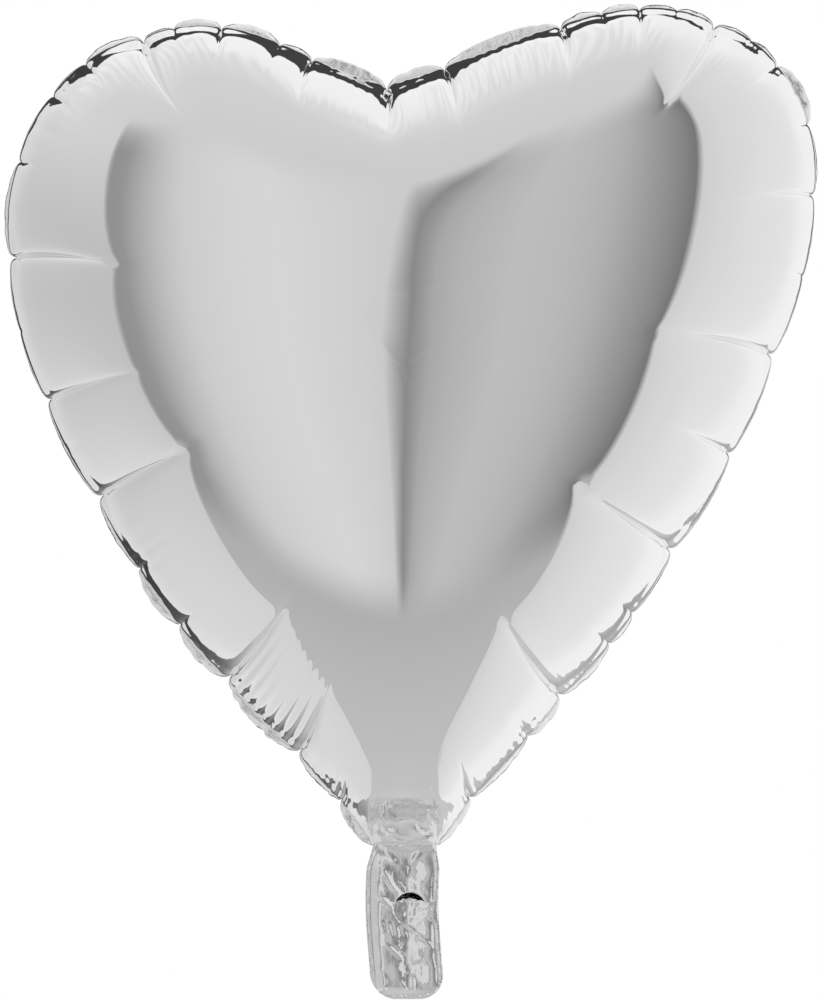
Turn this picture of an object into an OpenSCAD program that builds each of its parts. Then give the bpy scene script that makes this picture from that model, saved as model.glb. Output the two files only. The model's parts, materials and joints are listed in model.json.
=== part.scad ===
// Heart-shaped foil balloon, inflated, with its filling tail hanging from the neck.
// Two film panels are heat-sealed together round the rim. The tail is a flat sleeve below the neck
// crease, and a lay-flat valve of clear film runs from the tail up into the heart.
// X is to the right, Y to the back, Z up. The origin is the middle of the neck crease, where a
// ribbon is tied.

/* [Heart] */
// Width of the inflated heart from seam to seam
heart_w = 363; // [300:1:420]
// Depth of the inflated heart from front to back
heart_depth = 156; // [120:1:190]
// Height of the fullest point above the neck crease
belly_z = 235; // [210:1:250]
// Width of the sealed margin that stands out round the heart
seal_margin = 4; // [2:0.5:6]

/* [Neck and tail] */
// Width of the film at the neck crease
neck_w = 28; // [24:1:30]
// Width of the tail
tail_w = 32.4; // [31:0.1:40]
// Length of the tail below the neck crease
tail_l = 70; // [62:1:90]
// Thickness of the tail as it hangs, from front to back
tail_depth = 6.4; // [6:0.1:8]
// Radius of the tail's lower corners
tail_corner_r = 11; // [6:0.5:12]
// Width of the sealed margin inside the tail's edge
tail_seal = 2.2; // [1.5:0.1:3]
// Clear gap on each side of the fold line, which lets the tail fold up
fold_gap = 1.5; // [1.3:0.1:2]

/* [Filling hole] */
// Radius of the round hole punched in the front film of the tail
hole_r = 7.3; // [5:0.1:8]
// Distance of the hole's centre to the right of the tail's middle
hole_x = 3.6; // [0:0.1:4]
// Distance of the hole's centre below the neck crease
hole_drop = 29.5; // [28:0.5:36]

/* [Valve] */
// Width of the lay-flat valve
valve_w = 22; // [16:1:22]
// Length of the valve inside the heart
valve_l = 104; // [60:1:110]
// Lean of the valve towards the back film
valve_lean = 34; // [0:1:34]
// Height of the valve's hinge line above the neck crease
valve_foot = 3.5; // [3:0.5:6]

/* [Film] */
// Modelled thickness of the foil film
film_t = 0.5; // [0.4:0.1:0.8]
// Modelled thickness of each clear valve ply
ply_t = 0.3; // [0.2:0.05:0.4]
// Thickness of the two films where they are fused
seal_t = 0.6; // [0.4:0.1:0.8]
// Thickness of the printed release coat
coat_t = 0.1; // [0.1:0.05:0.2]

/* [Hidden] */

foil = [0.80, 0.80, 0.82];
foil_dark = [0.66, 0.66, 0.68];
seal_colour = [0.90, 0.90, 0.91];
clear_film = [0.75, 0.88, 0.95, 0.5];
coat_colour = [0.95, 0.95, 0.97];

curve_steps = 12;   // straight steps in each curve of the outline
rings = 11;         // rings of facets from the rim to the fullest point
fullness = 2.2;     // power that shapes the dome: 2 is an ellipse, more is fuller near the rim
half_seal = seal_t / 2;
belly = [-2, belly_z];

// The seam line of the right half, from the neck to the cleft, as shares of the heart's width.
// Each row is one cubic curve: start, two handles, end.
right_curves = [
    [[0.040, 0.004], [0.083, 0.066], [0.168, 0.138], [0.256, 0.248]],
    [[0.256, 0.248], [0.383, 0.408], [0.508, 0.647], [0.508, 0.821]],
    [[0.508, 0.821], [0.508, 0.945], [0.430, 1.036], [0.303, 1.036]],
    [[0.303, 1.036], [0.198, 1.036], [0.066, 0.957], [-0.025, 0.944]]];

// The left half, from the cleft down to the neck; the lobe is a little lower and rounder.
left_curves = [
    [[-0.025, 0.944], [-0.099, 0.957], [-0.171, 1.015], [-0.256, 1.015]],
    [[-0.256, 1.015], [-0.383, 1.015], [-0.492, 0.917], [-0.492, 0.749]],
    [[-0.492, 0.749], [-0.492, 0.592], [-0.386, 0.408], [-0.264, 0.248]],
    [[-0.264, 0.248], [-0.174, 0.138], [-0.083, 0.066], [-0.040, 0.004]]];

function bezier(c, t) = pow(1 - t, 3) * c[0] + 3 * pow(1 - t, 2) * t * c[1]
    + 3 * (1 - t) * t * t * c[2] + t * t * t * c[3];

function sampled(curves) = [for (c = curves) for (i = [0 : curve_steps - 1])
    heart_w * bezier(c, i / curve_steps)];

neck_right = [neck_w / 2, fold_gap];
neck_left = [-neck_w / 2, fold_gap];

// The open seam line: up the right side, over the cleft, and down the left side.
seam_raw = concat(sampled(right_curves), sampled(left_curves));
seam = [for (i = [0 : len(seam_raw)]) i == 0 ? neck_right
    : i == len(seam_raw) ? neck_left : seam_raw[i]];

// The closed rim adds three points along the neck crease.
rim = concat(seam, [for (k = [1 : 3]) neck_left + k / 4 * (neck_right - neck_left)]);

// How far the dome has risen at share s of the way from its fullest point to the rim: nearly an
// ellipse, so the film meets the seam upright, as it does on a swollen balloon.
function rise(s) = sqrt(max(0, 1 - pow(s, fullness)));

// One ring of the dome, inset by t, at share s of the way out.
function ring(s, t) = [for (p = rim) let (d = p - belly, k = s * (1 - t / norm(d)))
    [belly[0] + k * d[0],
     half_seal + (heart_depth / 2 - half_seal - t) * rise(s),
     belly[1] + k * d[1]]];

function pole(t) = [belly[0], heart_depth / 2 - t, belly[1]];

// The dome of one panel as a thin shell: rings of points on its outer face, then its inner face.
module film_dome() {
    n = len(rim);
    shares = [for (r = [0 : rings - 1]) cos(90 * r / rings)];
    outer = [for (s = shares) each ring(s, 0)];
    inner = [for (s = shares) each ring(s, film_t)];
    inner_start = len(outer);
    poles = inner_start + len(inner);
    bands = [for (r = [0 : rings - 2]) for (i = [0 : n - 1]) let (a = r * n + i,
        b = r * n + (i + 1) % n) each [[a, b, b + n], [a, b + n, a + n]]];
    caps = [for (i = [0 : n - 1])
        [(rings - 1) * n + i, (rings - 1) * n + (i + 1) % n, -1]];
    outside = [for (f = concat(bands, caps)) [for (v = f) v < 0 ? poles : v]];
    inside = [for (f = concat(bands, caps))
        [for (v = [f[2], f[1], f[0]]) v < 0 ? poles + 1 : v + inner_start]];
    foot = [for (i = [0 : n - 1]) let (j = (i + 1) % n)
        each [[j, i, i + inner_start], [j, i + inner_start, j + inner_start]]];
    polyhedron(points = concat(outer, inner, [pole(0), pole(film_t)]),
               faces = concat(outside, inside, foot), convexity = 4);
}

module front_panel() {
    color(foil) mirror([0, 1, 0]) film_dome();
}

module back_panel() {
    color(foil) film_dome();
}

// The seam line moved outwards by d along its own normals.
function seam_moved(d) = [for (i = [0 : len(seam) - 1])
    let (along = seam[min(i + 1, len(seam) - 1)] - seam[max(i - 1, 0)])
    seam[i] + d / norm(along) * [along[1], -along[0]]];

// The fused margin of both panels, which stands out round the heart as a flat band.
module edge_seal() {
    outer = seam_moved(seal_margin);
    inner = seam_moved(-film_t);
    last = len(seam) - 1;
    color(seal_colour)
        translate([0, half_seal, 0])
            rotate([90, 0, 0])
                linear_extrude(seal_t)
                    polygon(concat(outer, [for (i = [last : -1 : 0]) inner[i]]));
}

// Outline of the tail, less an inset all round except along the fold.
module tail_outline(inset) {
    half = tail_w / 2 - inset;
    shoulder = -12;
    corner = tail_corner_r - inset;
    polygon([[neck_w / 2 - inset, -fold_gap],
             [half, shoulder],
             each [for (a = [0 : -15 : -90])
                 [half - corner + corner * cos(a), corner - tail_l + inset + corner * sin(a)]],
             each [for (a = [-90 : -15 : -180])
                 [corner - half + corner * cos(a), corner - tail_l + inset + corner * sin(a)]],
             [-half, shoulder],
             [inset - neck_w / 2, -fold_gap]]);
}

// The fused margin down both edges of the tail and round its foot.
module tail_edge_seal() {
    color(seal_colour)
        translate([0, half_seal, 0])
            rotate([90, 0, 0])
                linear_extrude(seal_t)
                    difference() {
                        tail_outline(0);
                        tail_outline(tail_seal + film_t);
                        translate([0, -fold_gap])
                            square([neck_w - 2 * (tail_seal + film_t), 1], center = true);
                    }
}

// Stations down the tail: height, half width inside the seal, and share of the full bulge.
tail_inner_w = tail_w / 2 - tail_seal;
tail_stations = [
    [-fold_gap, neck_w / 2 - tail_seal, 0.12],
    [-6, neck_w / 2 - tail_seal + 0.9, 0.45],
    [-12, tail_inner_w, 1],
    [tail_corner_r - tail_l, tail_inner_w, 1],
    [tail_corner_r / 2 - tail_l + 0.5, tail_inner_w - 1.7, 0.85],
    [tail_seal - tail_l, tail_inner_w - tail_corner_r * 0.75, 0]];
tail_bulge = tail_depth / 2 - half_seal;

// One row of points across the tail: a flat middle with rounded shoulders down to the seal.
function tail_row(st, t) = let (w = st[1] - t, h = max(0.02, st[2] * tail_bulge - t))
    [for (c = [[-w, 0], [-w + 1, 0.55], [-w + 2.4, 1], [w - 2.4, 1], [w - 1, 0.55], [w, 0]])
        [c[0], half_seal + h * c[1], st[0]]];

// The bulged part of one tail ply as a thin shell, open at the neck.
module tail_tray() {
    m = 6;
    rows = len(tail_stations);
    foot_row = [tail_stations[rows - 1][0] + film_t, tail_stations[rows - 1][1], 0];
    outer = [for (st = tail_stations) each tail_row(st, 0)];
    inner = [for (r = [0 : rows - 1])
        each tail_row(r == rows - 1 ? foot_row : tail_stations[r], film_t)];
    k = rows * m;
    bands = [for (r = [0 : rows - 2]) for (i = [0 : m - 2]) let (a = r * m + i)
        each [[a, a + m, a + m + 1], [a, a + m + 1, a + 1]]];
    inside = [for (f = bands) [f[2] + k, f[1] + k, f[0] + k]];
    neck_end = [for (i = [0 : m - 2]) each [[i, i + 1, i + 1 + k], [i, i + 1 + k, i + k]]];
    foot_end = [for (i = [0 : m - 2]) let (a = (rows - 1) * m + i)
        each [[a + 1, a, a + k], [a + 1, a + k, a + 1 + k]]];
    left_end = [for (r = [0 : rows - 2]) let (a = r * m)
        each [[a + m, a, a + k], [a + m, a + k, a + m + k]]];
    right_end = [for (r = [0 : rows - 2]) let (a = r * m + m - 1)
        each [[a, a + m, a + m + k], [a, a + m + k, a + k]]];
    polyhedron(points = concat(outer, inner),
               faces = concat(bands, inside, neck_end, foot_end, left_end, right_end),
               convexity = 4);
}

module tail_front_ply() {
    color(foil_dark)
        difference() {
            mirror([0, 1, 0]) tail_tray();
            translate([hole_x, 0, -hole_drop])
                rotate([90, 0, 0])
                    cylinder(r = hole_r, h = tail_depth, $fn = 64);
        }
}

module tail_back_ply() {
    color(foil_dark) tail_tray();
}

// One ply of the valve's upper part, leaning back from its hinge line; side is -1 or 1.
module valve_ply(side) {
    translate([-valve_w / 2, 0, valve_foot])
        rotate([-valve_lean, 0, 0])
            translate([0, side < 0 ? -ply_t : 0, 1])
                cube([valve_w, ply_t, valve_l]);
}

module valve_front_ply() {
    color(clear_film) valve_ply(-1);
}

module valve_back_ply() {
    color(clear_film) valve_ply(1);
}

// The valve's mouth in the tail: each ply runs down from the neck and is welded to its tail ply.
mouth_top = -fold_gap - 2;
mouth_bend = -14;
mouth_end = -18;
mouth_reach = tail_depth / 2 - film_t;
mouth_w = valve_w - 2;

module mouth_ply(t, back_off) {
    y0 = 0.05 + back_off;
    y1 = mouth_reach - ply_t + back_off;
    translate([-mouth_w / 2, 0, 0])
        rotate([90, 0, 90])
            linear_extrude(mouth_w)
                polygon([[y0, mouth_top], [y0 + t, mouth_top],
                         [y1 + t, mouth_bend], [y1 + t, mouth_end],
                         [y1, mouth_end], [y1, mouth_bend]]);
}

module valve_mouth_front_ply() {
    color(clear_film) mirror([0, 1, 0]) mouth_ply(ply_t, 0);
}

module valve_mouth_back_ply() {
    color(clear_film) mouth_ply(ply_t, 0);
}

// The heat-resistant print on the inside of the back mouth ply, which keeps the mouth open.
module valve_release_coat() {
    color(coat_colour) mouth_ply(coat_t, -coat_t);
}

front_panel();
back_panel();
edge_seal();
tail_front_ply();
tail_back_ply();
tail_edge_seal();
valve_front_ply();
valve_back_ply();
valve_mouth_front_ply();
valve_mouth_back_ply();
valve_release_coat();
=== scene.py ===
"""Heart-shaped foil balloon: the looks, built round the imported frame."""

import json
import math

import bpy
import numpy as np
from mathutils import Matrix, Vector
from mathutils.geometry import delaunay_2d_cdt


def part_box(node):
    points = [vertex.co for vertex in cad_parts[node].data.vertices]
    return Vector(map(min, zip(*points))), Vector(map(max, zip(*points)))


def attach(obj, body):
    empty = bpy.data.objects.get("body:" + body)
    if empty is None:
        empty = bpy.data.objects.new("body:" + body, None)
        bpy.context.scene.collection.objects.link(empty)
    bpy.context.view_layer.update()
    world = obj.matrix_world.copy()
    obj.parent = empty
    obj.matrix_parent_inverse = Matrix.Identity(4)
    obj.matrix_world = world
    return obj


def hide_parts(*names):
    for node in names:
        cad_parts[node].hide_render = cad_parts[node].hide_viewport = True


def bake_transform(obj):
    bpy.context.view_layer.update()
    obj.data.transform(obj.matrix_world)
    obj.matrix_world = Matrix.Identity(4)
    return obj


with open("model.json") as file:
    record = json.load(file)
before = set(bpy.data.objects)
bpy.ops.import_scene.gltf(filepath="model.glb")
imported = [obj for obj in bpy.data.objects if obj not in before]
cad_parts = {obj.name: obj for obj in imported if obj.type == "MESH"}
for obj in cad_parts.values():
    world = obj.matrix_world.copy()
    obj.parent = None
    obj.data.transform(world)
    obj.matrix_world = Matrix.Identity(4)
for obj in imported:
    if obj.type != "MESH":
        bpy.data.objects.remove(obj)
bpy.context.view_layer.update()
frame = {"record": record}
MM = 0.001


# ---------------------------------------------------------------------------------------------
# The studio: a camera level with the middle of the heart, a white backdrop and floor, and a room
# that only the foil sees. Foil shows nothing but the room, so the room is painted by direction: two
# pale boards and a floor before the balloon, a ceiling, and an upright dark doorway behind it.
# ---------------------------------------------------------------------------------------------
VIEW_CENTRE = Vector((0.0027, 0.0, 0.1543))
VIEW_HEIGHT = 0.450
CAMERA_DISTANCE = 3.0
SENSOR = 24.0

camera_data = bpy.data.cameras.new("camera")
camera_data.sensor_fit = "VERTICAL"
camera_data.sensor_height = SENSOR
camera_data.lens = SENSOR * CAMERA_DISTANCE / VIEW_HEIGHT
camera_data.clip_end = 50.0
camera = bpy.data.objects.new("camera", camera_data)
bpy.context.scene.collection.objects.link(camera)
camera.location = VIEW_CENTRE - Vector((0, CAMERA_DISTANCE, 0))
camera.rotation_euler = (math.radians(90), 0, 0)
bpy.context.scene.camera = camera
bpy.context.scene.view_settings.view_transform = "Standard"


def fill(tree, made, inputs):
    """Sets a node's inputs by name, or by number as i0, i1 and so on; sockets are linked."""
    for key, value in inputs.items():
        socket = made.inputs[int(key[1:])] if key[0] == "i" and key[1:].isdigit() else made.inputs[key]
        if isinstance(value, bpy.types.NodeSocket):
            tree.links.new(value, socket)
        else:
            socket.default_value = value
    return made


def add_node(tree, kind, **inputs):
    """A new node with its inputs set."""
    return fill(tree, tree.nodes.new(kind), inputs)


def maths(tree, operation, a, b=0.0, clamp=False):
    """The output socket of one maths node."""
    made = add_node(tree, "ShaderNodeMath", i0=a, i1=b)
    made.operation = operation
    made.use_clamp = clamp
    return made.outputs[0]


def smooth_ramp(tree, factor, low, high, stops):
    """Grey levels along a value from low to high, given as (value, level) rows."""
    made = add_node(tree, "ShaderNodeValToRGB",
                    Fac=maths(tree, "DIVIDE", maths(tree, "SUBTRACT", factor, low), high - low))
    ramp = made.color_ramp
    ramp.interpolation = "LINEAR"
    while len(ramp.elements) > 1:
        ramp.elements.remove(ramp.elements[-1])
    for k, (value, level) in enumerate(stops):
        place = (value - low) / (high - low)
        element = ramp.elements[0] if k == 0 else ramp.elements.new(place)
        element.position = place
        element.color = (level, level, level, 1)
    return made.outputs["Color"]


# Grey levels round the room at eye height, by bearing in degrees: 0 is behind the camera, 90 to
# the right, 180 behind the balloon. The camera stands at the edge between two pale boards.
WALLS = [(-180, 0.90), (-150, 0.81), (-130, 0.77), (-110, 0.755), (-80, 0.745), (-51.5, 0.735),
         (-50, 0.56), (-43, 0.575), (-38, 0.64), (-31, 0.73), (-25, 0.79), (-16, 0.82),
         (-9, 0.832), (-3, 0.805), (-0.5, 0.775), (-0.1, 0.525), (1, 0.64), (3, 0.695),
         (7, 0.735), (12, 0.72), (18, 0.685), (26, 0.60), (34, 0.525), (40.2, 0.455),
         (41.2, 0.80), (52, 0.83), (75, 0.86), (105, 0.885), (130, 0.93), (180, 0.94)]
BOARD_START = (-52, -50)     # bearings over which the boards begin and end
BOARD_END = (40, 42)
LEFT_WALL_LIFT = 0.08        # how much lighter the left wall is far above and below eye height
LIFT_HEIGHT = 45
# Grey levels of the floor between the boards, by height in degrees, and the heights and the span of
# directions over which it begins. The same floor runs on straight beneath the balloon.
FLOOR = [(-90, 0.78), (-60, 0.735), (-48, 0.72), (-38, 0.70), (-30, 0.68), (-20, 0.70)]
FLOOR_START = (-30, -20)
BENEATH_START = (-0.88, -0.80)
BENEATH_SIDE = (0.34, 0.40)
# Grey levels of the ceiling, by how far it lies to the front (-1) or the back (1), with faint slats
# at the back. It begins over two heights in degrees, which rise with the bearing to the right.
CEILING = [(-1, 0.78), (-0.2, 0.815), (0.1, 0.86), (0.5, 0.91), (1, 0.93)]
CEILING_START = (32, 50)
CEILING_RISE = 0.45
CEILING_RISE_END = 60.0
SLATS = 57.0
SLAT_START = (-0.2, 0.3)
SLAT_SHADE = 0.022
# Grey levels of the dark doorway behind the balloon, darkest above and to the left, and its half
# width, foot and head as parts of a direction of length 1.
DOORWAY = [(-0.95, 0.77), (-0.8, 0.74), (-0.6, 0.66), (-0.4, 0.58), (-0.12, 0.38), (0.05, 0.26),
           (0.7, 0.24)]
DOORWAY_LEAN = 0.8
DOORWAY_HALF = 0.40
DOORWAY_FOOT = -0.93
DOORWAY_HEAD = 0.56
DOORWAY_SOFT = 0.02
EYE_GAMMA = 2.2
FOIL_LOSS = 0.9


def times(tree, a, b):
    """The product of two values."""
    return maths(tree, "MULTIPLY", a, b)


def plus(tree, a, b):
    """The sum of two values."""
    return maths(tree, "ADD", a, b)


def rest_of(tree, share):
    """1 less a share."""
    return maths(tree, "SUBTRACT", 1.0, share)


def blend_grey(tree, share, first, second):
    """The output socket of a mix of two greys, by a share from 0 to 1."""
    made = add_node(tree, "ShaderNodeMix", i0=share, i2=first, i3=second)
    made.data_type = "FLOAT"
    return made.outputs[0]


def soft_step(tree, value, low, high):
    """0 below the low value and 1 above the high one, smooth between them."""
    made = add_node(tree, "ShaderNodeMapRange", Value=value)
    made.interpolation_type = "SMOOTHSTEP"
    made.inputs["From Min"].default_value = low
    made.inputs["From Max"].default_value = high
    return made.outputs["Result"]


def paint_room():
    """The world: white to the camera, and the painted room to everything else. The levels are
    greys as the eye sees them after the foil's own loss, so they are raised to light at the end."""
    world = bpy.data.worlds.new("studio")
    bpy.context.scene.world = world
    world.use_nodes = True
    tree = world.node_tree
    tree.nodes.clear()
    place = tree.nodes.new("ShaderNodeTexCoord")
    parts = add_node(tree, "ShaderNodeSeparateXYZ", Vector=place.outputs["Generated"])
    x, y, z = parts.outputs
    bearing = times(tree, maths(tree, "ARCTAN2", x, times(tree, y, -1.0)), 180 / math.pi)
    height = times(tree, maths(tree, "ARCSINE", z), 180 / math.pi)
    sideways = maths(tree, "ABSOLUTE", x)
    from_left = soft_step(tree, bearing, *BOARD_START)
    lift = times(tree, soft_step(tree, maths(tree, "ABSOLUTE", height), 0, LIFT_HEIGHT), LEFT_WALL_LIFT)
    walls = plus(tree, smooth_ramp(tree, bearing, -180, 180, WALLS),
                 times(tree, rest_of(tree, from_left), lift))
    between = times(tree, from_left, rest_of(tree, soft_step(tree, bearing, *BOARD_END)))
    floor = times(tree, between, rest_of(tree, soft_step(tree, height, *FLOOR_START)))
    beneath = times(tree, rest_of(tree, soft_step(tree, z, *BENEATH_START)),
                    rest_of(tree, soft_step(tree, sideways, *BENEATH_SIDE)))
    grey = blend_grey(tree, maths(tree, "MAXIMUM", floor, beneath), walls,
                      smooth_ramp(tree, height, -90, 90, FLOOR))
    right = maths(tree, "MINIMUM", maths(tree, "MAXIMUM", bearing, 0.0), CEILING_RISE_END)
    over_edge = maths(tree, "SUBTRACT", height, times(tree, right, CEILING_RISE))
    slat = times(tree, maths(tree, "SINE", times(tree, x, SLATS)),
                 times(tree, soft_step(tree, y, *SLAT_START), SLAT_SHADE))
    ceiling = plus(tree, smooth_ramp(tree, y, -1, 1, CEILING), slat)
    grey = blend_grey(tree, soft_step(tree, over_edge, *CEILING_START), grey, ceiling)
    beside = soft_step(tree, sideways, DOORWAY_HALF - DOORWAY_SOFT, DOORWAY_HALF)
    over = soft_step(tree, z, DOORWAY_HEAD - DOORWAY_SOFT, DOORWAY_HEAD)
    under = soft_step(tree, times(tree, z, -1.0), -DOORWAY_FOOT - DOORWAY_SOFT, -DOORWAY_FOOT)
    behind = soft_step(tree, y, 0, 0.05)
    for outside in (beside, over, under):
        behind = times(tree, behind, rest_of(tree, outside))
    slant = maths(tree, "SUBTRACT", z, times(tree, x, DOORWAY_LEAN))
    grey = blend_grey(tree, behind, grey, smooth_ramp(tree, slant, -1, 1, DOORWAY))
    light = maths(tree, "DIVIDE", maths(tree, "POWER", grey, EYE_GAMMA), FOIL_LOSS)
    seen = add_node(tree, "ShaderNodeLightPath")
    white = add_node(tree, "ShaderNodeBackground", Color=(1, 1, 1, 1), Strength=1.0)
    painted = add_node(tree, "ShaderNodeBackground", Strength=light)
    painted.inputs["Color"].default_value = (1, 1, 1, 1)
    either = add_node(tree, "ShaderNodeMixShader", Fac=seen.outputs["Is Camera Ray"],
                      i1=painted.outputs[0], i2=white.outputs[0])
    add_node(tree, "ShaderNodeOutputWorld", Surface=either.outputs[0])


paint_room()


# ---------------------------------------------------------------------------------------------
# The seam: the line round the heart where the two films are fused. It is the same eight cubic
# curves as in the frame, as shares of the heart's width, walked by length from the neck's right
# corner, up the right side, over the cleft and down the left side to the neck.
# ---------------------------------------------------------------------------------------------
SEAM_CURVES = [
    [(0.0386, 0.0), (0.083, 0.066), (0.168, 0.138), (0.256, 0.248)],
    [(0.256, 0.248), (0.383, 0.408), (0.508, 0.647), (0.508, 0.821)],
    [(0.508, 0.821), (0.508, 0.945), (0.430, 1.036), (0.303, 1.036)],
    [(0.303, 1.036), (0.198, 1.036), (0.066, 0.957), (-0.025, 0.944)],
    [(-0.025, 0.944), (-0.099, 0.957), (-0.171, 1.015), (-0.256, 1.015)],
    [(-0.256, 1.015), (-0.383, 1.015), (-0.492, 0.917), (-0.492, 0.749)],
    [(-0.492, 0.749), (-0.492, 0.592), (-0.386, 0.408), (-0.264, 0.248)],
    [(-0.264, 0.248), (-0.174, 0.138), (-0.083, 0.066), (-0.0386, 0.0)]]
panel_low, panel_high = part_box("front_panel")
HEART_W = panel_high[0] - panel_low[0]
HALF_DEPTH = -panel_low[1]
NECK_HALF = 0.0386 * HEART_W


def cubic(points, t):
    """A cubic curve: the four points weighted by the Bernstein shares of t."""
    p = np.array(points, float)[:, None, :]
    t = t[:, None]
    return (1 - t)**3 * p[0] + 3 * (1 - t)**2 * t * p[1] + 3 * (1 - t) * t**2 * p[2] + t**3 * p[3]


def walk_seam():
    """The closed rim sampled every 0.25 mm: length walked, x, z, and the outward normal there.
    The normal is the tangent turned right, averaged over 8 mm so that it swings across a corner."""
    step = np.linspace(0, 1, 400, endpoint=False)
    rough = np.vstack([cubic(c, step) for c in SEAM_CURVES]) * HEART_W
    neck = np.linspace(-NECK_HALF, NECK_HALF, 60, endpoint=False)
    rough = np.vstack([rough, np.c_[neck, 0 * neck]])
    loop = np.vstack([rough, rough[:1]])
    walked = np.r_[0, np.cumsum(np.linalg.norm(np.diff(loop, axis=0), axis=1))]
    length = np.linspace(0, walked[-1], int(walked[-1] / (0.25 * MM)), endpoint=False)
    x = np.interp(length, walked, loop[:, 0])
    z = np.interp(length, walked, loop[:, 1])
    tangent = np.c_[np.roll(x, -1) - np.roll(x, 1), np.roll(z, -1) - np.roll(z, 1)]
    kernel = np.hanning(33)
    wide = np.vstack([tangent[-16:], tangent, tangent[:16]])
    tangent = np.c_[np.convolve(wide[:, 0], kernel, "valid"), np.convolve(wide[:, 1], kernel, "valid")]
    tangent /= np.linalg.norm(tangent, axis=1)[:, None]
    return walked[-1], length, np.c_[x, z], np.c_[tangent[:, 1], -tangent[:, 0]]


RIM_LENGTH, rim_walked, rim_points, rim_normals = walk_seam()
SEAM_LENGTH = RIM_LENGTH - 2 * NECK_HALF


def on_rim(values, length):
    """Rim values at any length walked, round the loop."""
    return np.c_[np.interp(length, rim_walked, values[:, 0], period=RIM_LENGTH),
                 np.interp(length, rim_walked, values[:, 1], period=RIM_LENGTH)]


# ---------------------------------------------------------------------------------------------
# The inflated form. Each panel swells like a soap film under even load, which is nil on the seam
# and fullest at the belly, and foil, which can't stretch, swells fuller than that near the rim.
# ---------------------------------------------------------------------------------------------
def fade(share):
    """1 at a share of 0, falling smoothly to 0 at a share of 1."""
    t = np.clip(1 - share, 0, 1)
    return t * t * (3 - 2 * t)


SOURCES = 260
SOURCE_REACH = 22 * MM


def membrane_field():
    """The loaded membrane on the heart's outline: minus a quarter of the squared distance, plus
    the fields of line sources just outside the rim, whose strengths least squares finds so that the
    height is nil on the rim."""
    at = np.arange(SOURCES) / SOURCES * RIM_LENGTH
    reach = SOURCE_REACH * (0.25 + 0.75 * np.clip(on_rim(rim_points, at)[:, 1:] / 0.1, 0, 1))
    sources = on_rim(rim_points, at) + reach * on_rim(rim_normals, at)
    edge = on_rim(rim_points, np.arange(4 * SOURCES) / (4 * SOURCES) * RIM_LENGTH)

    def terms(p):
        gap = np.hypot(p[:, None, 0] - sources[:, 0], p[:, None, 1] - sources[:, 1])
        return np.c_[np.log(gap / 0.2), np.ones(len(p))]

    centre = np.array([0, 0.23])
    load = ((edge - centre)**2).sum(1) / 4
    strengths = np.linalg.lstsq(terms(edge), load, rcond=1e-9)[0]

    def height(p):
        return terms(p) @ strengths - ((p - centre)**2).sum(1) / 4
    return height


membrane = membrane_field()
grid_x, grid_z = np.meshgrid(np.linspace(-0.06, 0.06, 41), np.linspace(0.15, 0.32, 58))
grid_height = membrane(np.c_[grid_x.ravel(), grid_z.ravel()])
BELLY = np.array([grid_x.ravel()[grid_height.argmax()], grid_z.ravel()[grid_height.argmax()]])
FULLEST = grid_height.max()
LEAD = 60 * MM          # how far a column runs square to the rim before it turns to the belly
NECK_LEAD = 70 * MM     # the same dies away this near the neck
CROWN = 0.38
CLOSED_TO = 7 * MM      # round the neck the handled film is closed to here and open from there
OPEN_FROM = 23 * MM
CLOSED_SHARE = 0.30


def bare_film(length, q):
    """A point of the smooth panel: the column that starts at that length on the rim leaves it
    square, along a quadratic curve that ends at the belly, and q squared is the share walked along
    it. Its depth is the half depth times the root of 1 less the membrane's lack, its share short of
    the belly's, part of it plain, which crowns the middle, and part to the power 1.8. Round the neck
    the handled film is closed to a small share of that depth, and it opens smoothly above."""
    start = on_rim(rim_points, length)
    neck_share = np.exp(-(start**2).sum(1) / NECK_LEAD**2)[:, None]
    lead = LEAD * (1 - neck_share)
    s = (q**2)[:, None]
    handle = start - lead * on_rim(rim_normals, length) + 0.3 * neck_share * (BELLY - start)
    plan = (1 - s)**2 * start + 2 * s * (1 - s) * handle + s**2 * BELLY
    share = (membrane(plan) - membrane(start) * (1 - s[:, 0])**8) / FULLEST
    lack = np.clip(1 - share, 0, 1)
    depth = HALF_DEPTH * np.sqrt(np.clip(1 - CROWN * lack - (1 - CROWN) * lack**1.8, 0, 1))
    away = (np.hypot(0.35 * plan[:, 0], plan[:, 1]) - CLOSED_TO) / (OPEN_FROM - CLOSED_TO)
    depth *= 1 - (1 - CLOSED_SHARE) * fade(np.clip(away, 0, 1))
    return np.c_[plan[:, 0], depth, plan[:, 1]]


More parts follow.
